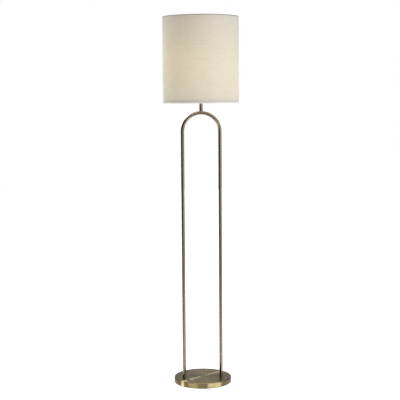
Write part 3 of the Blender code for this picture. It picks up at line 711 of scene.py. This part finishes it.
def arch_tube():
    """One bent tube: two straight ends and a half circle, with the lead's hole in its crown."""
    low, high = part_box("arch_tube")
    radius, bend, spring = arch_bend()
    straight = [Vector((-bend, 0, low.z + (spring - low.z) * i / 5)) for i in range(5)]
    turns = [math.pi * (1 - i / ARCH_STEPS) for i in range(ARCH_STEPS + 1)]
    curve = [Vector((bend * math.cos(a), 0, spring + bend * math.sin(a))) for a in turns]
    path = straight + curve + [Vector((bend, 0, p.z)) for p in reversed(straight)]
    stations = tube_stations(path, radius, TUBE_WALL)
    tube = swept("arch_tube_bent", stations, TUBE_FACES, "tube_brass", closed=True)
    drill(tube, 0.0050, 0.012, [((0, 0, high.z), (0, 0, 1))])
    stands_for(tube, "root", "antique_brass", "arch_tube")


def neck_tube():
    """Short tube coped onto the arch, with a small brazed fillet where the two meet."""
    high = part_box("neck_tube")[1]
    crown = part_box("arch_tube")[1].z
    radius, top = high.x, high.z
    tube, bend, spring = arch_bend()
    fillet, steps = 0.0016, 6
    above = 0.00002  # keeps the fillet's edge clear of the arch's own surface
    angles = [math.tau * k / NECK_FACES for k in range(NECK_FACES)]
    circle = [(math.cos(a), math.sin(a)) for a in angles]

    def on_arch(x, y):
        """Height of the arch's upper surface over a point."""
        across = math.sqrt(max(tube**2 - y**2, 0.0))
        return spring + math.sqrt((bend + across) ** 2 - x**2)

    rows, lengths = [], []
    for i in range(steps + 1):  # the fillet, from the arch up to the tube's side
        t = i / steps
        row = []
        for c, s in circle:
            room = 0.9 * radius * (1 / max(abs(s), 1e-6) - 1)  # the arch is no wider than the neck
            flare = min(fillet, room)
            foot = radius + flare
            z_foot, z_edge = on_arch(foot * c, foot * s), on_arch(radius * c, radius * s)
            r = radius + flare * (1 - t) ** 2
            z = z_foot * (1 - t) ** 2 + z_edge * 2 * t * (1 - t) + (z_edge + flare) * t**2
            row.append((r * c, r * s, z + above))
        rows.append(row)
        lengths.append(0.0005 * i)
    upper = [(radius, crown + 0.004), (radius, (crown + top) / 2)]
    upper += [(radius - END_ROUND * cut, top - END_ROUND * back) for back, cut in reversed(BROKEN_EDGE)]
    bore = radius - TUBE_WALL
    upper += [(bore, top), (bore, crown + 0.002)]
    for r, z in upper:
        rows.append([(r * c, r * s, z) for c, s in circle])
        lengths.append(0.004 + z - crown)
    neck = grid_mesh("neck_tube_coped", rows, lengths, "tube_brass")
    stands_for(neck, "root", "antique_brass", "neck_tube")


# Socket and switch


def harp_saddle():
    """Bent strip with rounded bends and edges, and a round post riveted into each raised end."""
    low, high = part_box("harp_saddle")
    post_x = middle("harp_ferrule_right").x
    thick, half_wide, post = 0.0016, (high.y - low.y) / 2, 0.0020
    flat_end, rise_end, rise = 0.0170, high.x, 0.0115
    slope = Vector((rise_end - flat_end, rise)).normalized()
    normal = Vector((-slope.y, slope.x))
    start, end = Vector((flat_end, low.z)), Vector((rise_end, low.z + rise))
    pull = 0.004
    bend = bezier(start - Vector((pull, 0)), start, start, start + pull * slope, 6)
    under = [Vector((0, low.z)), *bend, end]
    over = []
    for i, point in enumerate(under):
        before, after = under[max(i - 1, 0)], under[min(i + 1, len(under) - 1)]
        along = (after - before).normalized()
        over.append(point + thick * Vector((-along.y, along.x)))
    over[0].x = 0
    over[-1] = end + thick * normal
    right = [(p.x, p.y) for p in under] + [(p.x, p.y) for p in reversed(over)]
    left = [(-x, z) for x, z in reversed(right[1:-1])]
    bm = bmesh.new()
    face = bm.faces.new([bm.verts.new((x, -half_wide, z)) for x, z in right + left])
    made = bmesh.ops.extrude_face_region(bm, geom=[face])
    moved = [item for item in made["geom"] if isinstance(item, bmesh.types.BMVert)]
    bmesh.ops.translate(bm, verts=moved, vec=(0, 2 * half_wide, 0))
    bmesh.ops.recalc_face_normals(bm, faces=bm.faces)
    saddle = to_object("harp_saddle_strip", bm, "bright_brass")
    bevel = saddle.modifiers.new("edges", "BEVEL")
    bevel.width, bevel.segments, bevel.limit_method = 0.0004, 2, "ANGLE"
    bevel.angle_limit = math.radians(50)
    apply_modifiers(saddle)
    saddle.data.shade_smooth()
    saddle.data.set_sharp_from_angle(angle=math.radians(40))
    drill(saddle, BOLT_HOLE, 0.008, [((0, 0, low.z), (0, 0, 1))])
    stands_for(saddle, "root", "bright_brass", "harp_saddle")
    for side, sign in SIDES:
        top, bottom = high.z, low.z + rise - 0.0020
        profile = [(0, bottom), (0.0026, bottom), (0.0030, bottom + 0.0004), (0.0026, bottom + 0.0009)]
        profile += [(post, bottom + 0.0012), (post, top - 0.0004), (post - 0.0004, top), (0, top)]
        place = (sign * post_x, 0, 0)
        stud = lathe(f"saddle_post_{side}", profile, SMALL_FACES, "bright_brass", location=place)
        stud.parent = saddle


def socket_cap():
    """Pressed cup with a hole for the nipple and a small groove above the bend."""
    low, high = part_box("socket_cap")
    radius, bottom, top = high.x, low.z, high.z
    hub, cup, groove, bead = BOLT_HOLE, 0.0080, 0.0005, bottom + 0.0130
    profile = [(hub, bottom), (0.0078, bottom), (0.0088, bottom + 0.0006), (0.0092, bottom + 0.0014)]
    profile += arc(radius - cup, bottom + 0.0098, cup, -80, 0, 10)
    profile += [(radius, bead - 0.0010), (radius - groove, bead - 0.0003)]
    profile += [(radius - groove, bead + 0.0003), (radius, bead + 0.0010)]
    profile += [(radius, top - 0.0004), (radius - 0.0003, top), (radius - 0.0007, top)]
    profile += [(radius - 0.0009, bottom + 0.0110), (0.0100, bottom + 0.0034), (hub, bottom + 0.0033)]
    cap = lathe("socket_cap_pressed", profile, CUP_FACES, "bright_brass", closed=True)
    stands_for(cap, "root", "bright_brass", "socket_cap")


def socket_shell():
    """Drawn shell with two pressed rings and a rolled rim."""
    low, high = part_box("socket_shell")
    bottom, top = low.z, high.z
    proud, roll, groove = 0.0006, 0.0012, 0.0005
    radius = high.x - proud
    inner = radius - 0.0007
    profile = [(inner, bottom), (radius - 0.0002, bottom), (radius, bottom + 0.0003)]
    for z in (bottom + 0.0270, bottom + 0.0330):  # pressed rings
        profile += [(radius, z - 0.0012), (radius - groove, z - 0.0004)]
        profile += [(radius - groove, z + 0.0004), (radius, z + 0.0012)]
    profile += [(radius, top - 0.0030)] + arc(radius - proud, top - roll, roll, -30, 90, 8)
    profile += [(inner, top - 0.0002)]
    shell = lathe("socket_shell_drawn", profile, CUP_FACES, "bright_brass", closed=True)
    axis_z = middle("switch_knob").z
    drill(shell, 0.0028, 0.012, [((0, -radius, axis_z), (0, -1, 0))])
    stands_for(shell, "root", "bright_brass", "socket_shell")


def switch_knob():
    """Fluted knob on its shaft, with a domed face."""
    low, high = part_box("switch_knob")
    axis_z, radius = (low.z + high.z) / 2, 0.0060
    near, far = -high.y, -low.y
    shaft, collar = 0.0018, far - 0.0145
    plain, flutes, depth = 0.0045, 18, 0.07  # no flutes inside this radius; their depth is a share of it
    dome, face = 0.0018, far - 0.0001

    def fluted(angle, r, z):
        if r < plain or z < collar + 0.0004:
            return r
        return r * (1 - depth * (0.5 + 0.5 * math.cos(flutes * angle)) ** 2)

    profile = [(0, near), (shaft, near), (shaft, collar), (0.0050, collar), (0.0057, collar + 0.0004)]
    profile += [(radius, collar + 0.0014), (radius, far - 0.0022)]
    profile += arc(radius - dome, far - dome, dome, 0, 80, 6) + [(0.0022, face), (0, face)]
    knob = lathe("switch_knob_fluted", profile, 8 * flutes, "black_plastic", swell=fluted)
    knob.rotation_euler.x = math.pi / 2
    knob.location = (0, 0, axis_z)
    stands_for(knob, "switch_knob", "black_plastic", "switch_knob")


# Harp and finial


HARP_WIDEST_Z = 1.375


def harp():
    """Bent wire: upright ends, a swell to its widest and a round crown."""
    low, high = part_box("harp")
    radius = high.y
    post_x = middle("harp_ferrule_right").x
    foot, crown = Vector((post_x, low.z)), Vector((0, high.z - radius))
    knee, widest = Vector((post_x, low.z + 0.0230)), Vector((high.x - radius, HARP_WIDEST_Z))
    side = bezier(knee, knee + Vector((0, 0.030)), widest - Vector((0, 0.045)), widest, 24)
    over = bezier(widest, widest + Vector((0, 0.075)), crown + Vector((0.045, 0)), crown, 36)
    half = [foot, *side, *over[1:]]
    whole = half + [Vector((-p.x, p.y)) for p in reversed(half[:-1])]
    points = [Vector((p.x, 0, p.y)) for p in whole]
    bent = round_wire("harp_wire", points, radius, WIRE_FACES, "bright_brass")
    stands_for(bent, "root", "bright_brass", "harp")


def ferrules():
    for side, _ in SIDES:
        node = f"harp_ferrule_{side}"
        low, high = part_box(node)
        at, bottom, top = middle(node), low.z, high.z
        outer, bore = (high.x - low.x) / 2, 0.0023
        bead, edge = 0.0010, 0.0006
        sleeve = outer - 0.0006
        profile = [(bore, bottom), (sleeve, bottom), *arc(outer - bead, bottom + bead, bead, -60, 60, 8)]
        profile += [(sleeve, bottom + 0.0024), (sleeve, top - 0.0010)]
        profile += [*arc(sleeve - edge, top - edge, edge, 0, 90, 4), (bore, top)]
        place = (at.x, at.y, 0)
        collar = lathe(f"{node}_turned", profile, TUBE_FACES, "bright_brass", closed=True, location=place)
        stands_for(collar, f"ferrule_{side}", "bright_brass", node)


def harp_stud():
    """Seat for the shade with a cut thread above it."""
    low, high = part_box("harp_stud")
    bottom, top, flange = low.z, high.z, high.x
    shank, edge, seat = 0.0030, 0.0006, bottom + 0.0030
    profile = [(0, bottom), (flange - edge, bottom), *arc(flange - edge, bottom + edge, edge, -90, 0, 3)]
    profile += [*arc(flange - edge, seat - edge, edge, 0, 90, 3), (shank, seat)]
    pitch, depth, z = 0.0009, 0.0004, seat + 0.0006
    while z < top - 0.0016:
        profile += [(shank, z), (shank - depth, z + pitch / 2)]
        z += pitch
    profile += [(shank, top - 0.0010), (shank - 0.0006, top), (0, top)]
    stud = lathe("harp_stud_turned", profile, TUBE_FACES, "bright_brass")
    stands_for(stud, "root", "bright_brass", "harp_stud")


def finial():
    """Turned ball on a cove and a small foot, with its threaded bore."""
    low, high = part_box("finial")
    bottom, top, ball, bore = low.z, high.z, high.x, 0.0033
    foot, rounding = 0.0056, 0.0011
    profile = [(0, top), *arc(0, top - ball, ball, 88, -58, 24)]
    profile += [(0.0041, bottom + 0.0036), (0.0043, bottom + 0.0029), (foot, bottom + 2 * rounding)]
    profile += arc(foot, bottom + rounding, rounding, 80, -90, 8)
    profile += [(bore, bottom), (bore, bottom + 0.0130), (0, bottom + 0.0135)]
    turned = lathe("finial_turned", profile, FINE_FACES, "tube_brass")
    stands_for(turned, "finial", "antique_brass", "finial")


# Bulb


def bulb_cap():
    """Screw cap with a rolled helical thread."""
    low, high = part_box("bulb_cap")
    bottom, top, crest = low.z, high.z, high.x
    root, pitch, count = crest - 0.0007, 0.0036, 84
    start, end = bottom + 0.0012, top - 0.0016
    profile = [(0, bottom), (root * 0.88, bottom), (root * 0.95, bottom + 0.0006)]
    profile += [(root, start + (end - start) * i / count) for i in range(count + 1)]
    profile += [(root, top), (0, top)]
    first, last = bottom + 0.0020, top - 0.0040  # where the thread starts and ends

    def thread(angle, r, z):
        if r < root:
            return r
        fade = min(max((z - first) / pitch, 0), 1) * min(max((last - z) / pitch, 0), 1)
        return r + (crest - root) * fade * (0.5 - 0.5 * math.cos(math.tau * z / pitch - angle))

    cap = lathe("bulb_cap_threaded", profile, FINE_FACES, "nickel", swell=thread)
    stands_for(cap, "bulb", "nickel", "bulb_cap")


def bulb_globe():
    """Frosted envelope: a neck that opens smoothly into the ball."""
    low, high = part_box("bulb_globe")
    radius, centre, bottom = high.x, high.z - high.x, low.z
    neck = 0.0122
    start = -50  # where the neck meets the ball, in degrees from its equator
    a = math.radians(start)
    joint = Vector((radius * math.cos(a), centre + radius * math.sin(a)))
    slope = Vector((math.sin(a), -math.cos(a)))
    foot = Vector((neck, bottom))
    curve = bezier(foot, foot + Vector((0, 0.012)), joint + 0.010 * slope, joint, 14)
    profile = [(0, bottom + 0.0004), (neck - 0.0009, bottom + 0.0002)] + [(p.x, p.y) for p in curve]
    profile += arc(0, centre, radius, start, 90, 40)[1:-1] + [(0, high.z)]
    globe = lathe("bulb_globe_frosted", profile, FINE_FACES, "opal_glass")
    stands_for(globe, "bulb", "opal_glass", "bulb_globe")


# Shade


WIRE_RADIUS = 0.0016
WIRE_ROUND = (0, 345, 23)  # start, end and steps of the circle that the rings' wire is turned from
FABRIC = 0.0008
LAP = 0.0006  # how far the lap of the seam stands proud
LAP_TURN = 0.25  # the seam is at the back
LAP_WIDTH = 0.012
LAP_FADE = 0.010  # length over which the cloth eases back beyond the lap
LAP_EDGE = 0.00025
WALL_ROWS = 56


def wire_ring(node):
    """(radius of the ring's middle, its height)"""
    low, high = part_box(node)
    return high.x - WIRE_RADIUS, (low.z + high.z) / 2


def shade_fabric():
    """Linen drum with a lapped seam at the back. Its edges roll in round the rings and turn up inside."""
    low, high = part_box("shade_fabric")
    radius, bottom, top = high.x, low.z, high.z
    girth = math.tau * radius
    ring_radius, ring_z = wire_ring("bottom_ring")
    inside = radius - FABRIC
    lip_out = ring_radius - WIRE_RADIUS - 0.0003
    lip_in = lip_out - FABRIC
    roll, fold = 0.0017, 0.0006
    low_lip, high_lip = ring_z + 0.0052, top - 0.0110
    liner_edge = bottom + 0.0088  # below the liner the cloth draws in a little
    drawn = radius - 0.0002
    wall_top, wall_bottom = top - roll - 0.001, liner_edge + 0.0012
    profile = arc(radius - roll, top - roll, roll, 90, 0, 6)
    profile += [(radius, wall_top + (wall_bottom - wall_top) * i / WALL_ROWS) for i in range(WALL_ROWS + 1)]
    profile += [(drawn, liner_edge), (radius - 0.0003, liner_edge - 0.0008), (drawn, liner_edge - 0.0030)]
    profile += arc(radius - roll, bottom + roll, roll, 0, -90, 6)
    profile += [(lip_in + fold, bottom), (lip_in, bottom + fold), (lip_in, low_lip), (lip_out, low_lip)]
    profile += [(lip_out, bottom + FABRIC), (inside, bottom + FABRIC)]
    profile += [(inside, wall_bottom + (wall_top - wall_bottom) * i / 12) for i in range(13)]
    profile += [(inside, top - FABRIC), (lip_out, top - FABRIC), (lip_out, high_lip), (lip_in, high_lip)]
    profile += [(lip_in, top - fold), (lip_in + fold, top)]
    around = 264
    edge, fade = LAP_EDGE / girth, LAP_FADE / girth
    start, end = LAP_TURN, LAP_TURN + LAP_WIDTH / girth
    turns = [k / around for k in range(around) if abs(k / around - start) > 2 * edge]
    turns = sorted(turns + [start - edge, start + edge])

    def lap(angle, r, z):
        """The outer layer stands proud from its cut edge and eases back beyond the lap."""
        turn = angle / math.tau
        if r < inside - 0.0002 or turn < start:
            return r
        return r + LAP * min(1.0, max(0.0, 1 - (turn - end) / fade))

    shade = lathe("shade_linen", profile, len(turns), "linen", closed=True, swell=lap, turns=turns)
    stands_for(shade, "shade", "linen", "shade_fabric")


def shade_liner():
    """Stiff translucent sheet behind the fabric."""
    low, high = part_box("shade_liner")
    outer, inner = high.x, high.x - 0.0006
    rows = 24
    heights = [low.z + (high.z - low.z) * i / rows for i in range(rows + 1)]
    profile = [(outer, z) for z in heights] + [(inner, z) for z in reversed(heights)]
    sheet = lathe("shade_liner_sheet", profile, DRUM_FACES, "liner", closed=True)
    stands_for(sheet, "shade", "liner", "shade_liner")


def spider():
    """Top ring with three bent arms that run to a dished washer in the middle."""
    ring_radius = wire_ring("spider")[0]
    ring_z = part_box("spider")[1].z - WIRE_RADIUS * math.sin(math.radians(60))
    seat_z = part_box("finial")[0].z - 0.0011
    outline = arc(ring_radius, ring_z, WIRE_RADIUS, *WIRE_ROUND)
    ring = lathe("spider_frame", outline, DRUM_FACES, "white_wire", closed=True)
    stands_for(ring, "shade", "white_wire", "spider")
    bend, arm_radius = 0.005, 0.0013
    corner = arc(ring_radius - bend, seat_z + bend, bend, 0, -90, 10)
    path = [(ring_radius, ring_z)] + corner + [(0.090, seat_z), (0.0120, seat_z)]
    points = [Vector((x, 0, z)) for x, z in path]
    hole, half = 0.0034, 0.0008
    washer = [(hole, -half), (0.0140, -half)] + arc(0.0142, 0, half, -80, 80, 6)
    washer += [(0.0110, half), (0.0095, 0.0006), (0.0080, half), (hole, half)]
    pieces = [lathe("spider_washer", washer, CUP_FACES, "white_wire", closed=True, location=(0, 0, seat_z))]
    for number, angle in enumerate((90, 210, 330), 1):
        pieces.append(round_wire(f"spider_arm_{number}", points, arm_radius, ARM_FACES, "white_wire"))
        pieces[-1].rotation_euler.z = math.radians(angle)
    for piece in pieces:
        piece.parent = ring


def bottom_ring():
    outline = arc(*wire_ring("bottom_ring"), WIRE_RADIUS, *WIRE_ROUND)
    ring = lathe("bottom_ring_wire", outline, DRUM_FACES, "white_wire", closed=True)
    stands_for(ring, "shade", "white_wire", "bottom_ring")


# CAD nodes that stay


def dress_cad_nodes(nodes):
    """Gives every CAD node that still shows the procedural material of its finish."""
    for obj in nodes.values():
        if obj.hide_render:
            continue
        finish_name = obj.data.materials[0].name.split(".")[0]
        obj.data.materials[0] = look(finish_name)


# Studio


WHITE = (1.0, 1.0, 1.0)
FLOOR_SIZE = 9.0


@material
def floor(n):
    """Pale paper with a barely visible tooth, clear from underneath so that the lamp shows from below."""
    tooth = n.noise(n.own(), scale=300, roughness=0.6)
    color = n.mix(tooth, (0.36, 0.36, 0.36), (0.38, 0.38, 0.38))
    paper = n.principled(base_color=color, roughness=0.9, emission_color=WHITE, emission_strength=1.0)
    underneath = n.add("NewGeometry").outputs["Backfacing"]
    n.finish(n.blend(underneath, paper, n.add("BsdfTransparent").outputs[0]))


def make_floor():
    """Glowing paper. The metal doesn't mirror it, so that only the panels shape its highlights."""
    bm = bmesh.new()
    bmesh.ops.create_grid(bm, x_segments=8, y_segments=8, size=FLOOR_SIZE)
    paper = to_object("floor", bm, "floor")
    paper.visible_glossy = False


# The studio's dome. Azimuths run from the camera towards its right; all angles are in degrees.
DOME_FRONT = (0.05, 0.045, 0.035)
DOME_LOW = (1.40, 1.38, 1.34)
DOME_BACK = (0.95, 0.95, 0.95)
DOME_BACK_HIGH = (0.29, 0.285, 0.28)
DOME_TOP = (1.80, 1.75, 1.65)
LOW_BAND = (-38, -16.5)  # elevations of the lighter band in front
LOW_BAND_EDGE = 2.5
BACK_DIMS = (6, 12)  # elevations over which the back turns into its darker upper part
BACK_STARTS = (148, 166)  # azimuths, to either side, over which the front turns into the back
TOP_STARTS = (28, 66)  # elevations over which the sides turn into the top
PANELS = (
    # azimuths, elevations, soft edge, colour of the light; a later panel covers an earlier one
    ((-61, -19.5), (-38, -15), 3, (2.70, 2.60, 2.36)),
    ((-16, 10), (-38, -15), 3, (1.42, 1.36, 1.28)),
    ((21, 79), (-38, 42), 3, (2.10, 2.10, 2.15)),
    ((21, 79), (-13, -5), 2, (0.55, 0.54, 0.52)),
    ((19, 79), (-38, -15.5), 2, (2.85, 2.83, 2.85)),
    ((21, 79), (9, 42), 3, (1.05, 1.05, 1.06)),
    ((-98, -84), (-38, -13), 1, (5.0, 5.0, 5.0)),
)


def make_world():
    """White to the camera. For light and reflections, a dim dome with light panels, bright at the back."""
    world = bpy.data.worlds.new("studio")
    bpy.context.scene.world = world
    world.use_nodes = True
    n = Nodes(world.node_tree)
    direction = n.add("TexCoord").outputs["Generated"]
    near = Vector((math.sin(CAMERA_AZIMUTH), -math.cos(CAMERA_AZIMUTH), 0))
    right = Vector((math.cos(CAMERA_AZIMUTH), math.sin(CAMERA_AZIMUTH), 0))

    def along(axis):
        return n.add("VectorMath", {0: direction, 1: axis}, operation="DOT_PRODUCT").outputs["Value"]

    def degrees(radians):
        return n.math("MULTIPLY", radians, math.degrees(1))

    azimuth = degrees(n.math("ARCTAN2", along(right), along(near)))
    elevation = degrees(n.math("ARCSINE", n.add("SeparateXYZ", {0: direction}).outputs[2]))

    def inside(value, low, high, edge):
        rises = n.span(value, low - edge, low + edge)
        return n.math("MULTIPLY", rises, n.span(value, high - edge, high + edge, 1.0, 0.0))

    back = n.mix(n.span(elevation, *BACK_DIMS), DOME_BACK, DOME_BACK_HIGH)
    front = n.mix(inside(elevation, *LOW_BAND, LOW_BAND_EDGE), DOME_FRONT, DOME_LOW)
    color = n.mix(n.span(n.math("ABSOLUTE", azimuth), *BACK_STARTS), front, back)
    color = n.mix(n.span(elevation, *TOP_STARTS), color, DOME_TOP)
    for azimuths, elevations, edge, light in PANELS:
        share = n.math("MULTIPLY", inside(azimuth, *azimuths, edge), inside(elevation, *elevations, edge))
        color = n.mix(share, color, light)
    studio = n.add("Background", {"Color": color, "Strength": 1.0}).outputs[0]
    paper = n.add("Background", {"Color": WHITE, "Strength": 1.0}).outputs[0]
    seen = n.add("LightPath").outputs["Is Camera Ray"]
    n.add("OutputWorld", {0: n.blend(seen, studio, paper)})


AIM_HEIGHT = 1.0


def soft_box(name, azimuth, distance, height, wide, high, radiance, color, mirrored=False):
    """A rectangular light that faces the lamp. It shows in the metal or it lights the rest, not both."""
    data = bpy.data.lights.new(name, "AREA")
    data.shape = "RECTANGLE"
    data.size, data.size_y = wide, high
    data.energy = radiance * math.pi * wide * high
    data.color = color
    light = shown(bpy.data.objects.new(name, data))
    heading = CAMERA_AZIMUTH + math.radians(azimuth)
    light.location = (distance * math.sin(heading), -distance * math.cos(heading), height)
    aim = Vector((0, 0, AIM_HEIGHT)) - light.location
    light.rotation_euler = aim.to_track_quat("-Z", "Y").to_euler()
    light.visible_camera = False
    light.visible_glossy = mirrored
    light.visible_diffuse = not mirrored


def make_lights():
    """Key and rim light the cloth. The small one makes the thin bright line across the base's turned top."""
    place = {"azimuth": 68, "distance": 2.6, "height": 1.5}
    soft_box("key", **place, wide=1.6, high=1.6, radiance=2.0, color=(0.76, 0.88, 1.0))
    place = {"azimuth": -125, "distance": 2.6, "height": 1.5}
    soft_box("rim", **place, wide=1.0, high=1.5, radiance=8.5, color=(0.88, 0.95, 1.0))
    place = {"azimuth": -160, "distance": 2.3, "height": 2.0}
    soft_box("hair", **place, wide=0.05, high=0.16, radiance=820.0, color=(1.0, 0.98, 0.94), mirrored=True)


BASE_AND_FRAME = (base_cover, base_pad, cord_bushing, leg_tubes, arch_tube, neck_tube)
FITTINGS = (harp_saddle, socket_cap, socket_shell, switch_knob, harp, ferrules, harp_stud, finial)
BULB_AND_SHADE = (bulb_cap, bulb_globe, shade_fabric, shade_liner, spider, bottom_ring)


def build():
    bpy.context.scene.view_settings.view_transform = "Standard"
    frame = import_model()
    make_camera()
    make_world()
    make_lights()
    make_floor()
    for make_piece in BASE_AND_FRAME + FITTINGS + BULB_AND_SHADE:
        make_piece()
    dress_cad_nodes(frame["nodes"])


build()
